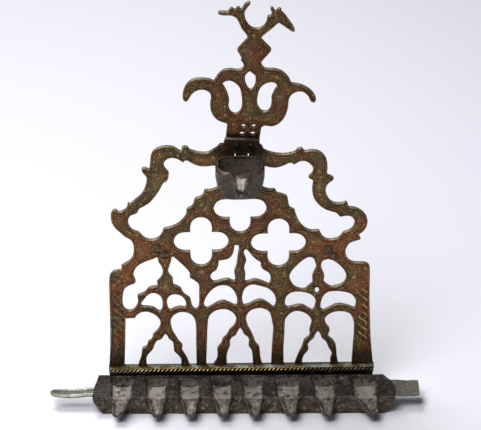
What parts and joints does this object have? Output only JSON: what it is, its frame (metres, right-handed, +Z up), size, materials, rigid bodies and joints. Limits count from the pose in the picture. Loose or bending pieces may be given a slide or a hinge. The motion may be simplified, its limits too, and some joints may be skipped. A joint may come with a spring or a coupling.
{
  "type": "hanukkah menorah",
  "caption": "Brass bench lamp: an openwork back plate with a crest, a row of oil wells with wick spouts in front, and a servant lamp hooked on its neck.",
  "frame": {"origin": "under the middle of the lamp's bounding box, on the surface it stands on", "axes": "+Z up, the wick spouts face -Y, +X to the right seen from the front"},
  "size_m": [0.2466, 0.0508, 0.2947],
  "materials": {
    "brown_brass": "cast, dark brown patina, worn at the edges",
    "golden_brass": "twisted, bright on its worn strands",
    "sooty_brass": "cast, dull grey with soot and old oil",
    "dark_iron": "dark, hammered"
  },
  "bodies": {
    "lamp": {"backplate": "brown_brass", "rope_rail": "golden_brass", "oil_row": "sooty_brass", "finial": "brown_brass", "left_tongue": "sooty_brass", "right_tab": "sooty_brass", "neck_rivet_left": "dark_iron", "neck_rivet_right": "dark_iron", "shoulder_rivet_left_upper": "brown_brass", "shoulder_rivet_left_lower": "brown_brass", "shoulder_rivet_right_upper": "brown_brass", "shoulder_rivet_right_lower": "brown_brass", "row_pin_far_left": "dark_iron", "row_pin_near_left": "dark_iron", "row_pin_near_right": "dark_iron", "row_pin_far_right": "dark_iron"},
    "servant_lamp": {"shamash_cup": "sooty_brass"}
  },
  "joints": [
    {"name": "servant_lamp_tilt", "type": "hinge", "parent": "lamp", "child": "servant_lamp", "pos_m": [0.00493, 0.02032, 0.18296], "axis": [-1, 0, 0], "range_deg": [0, 22]}
  ]
}
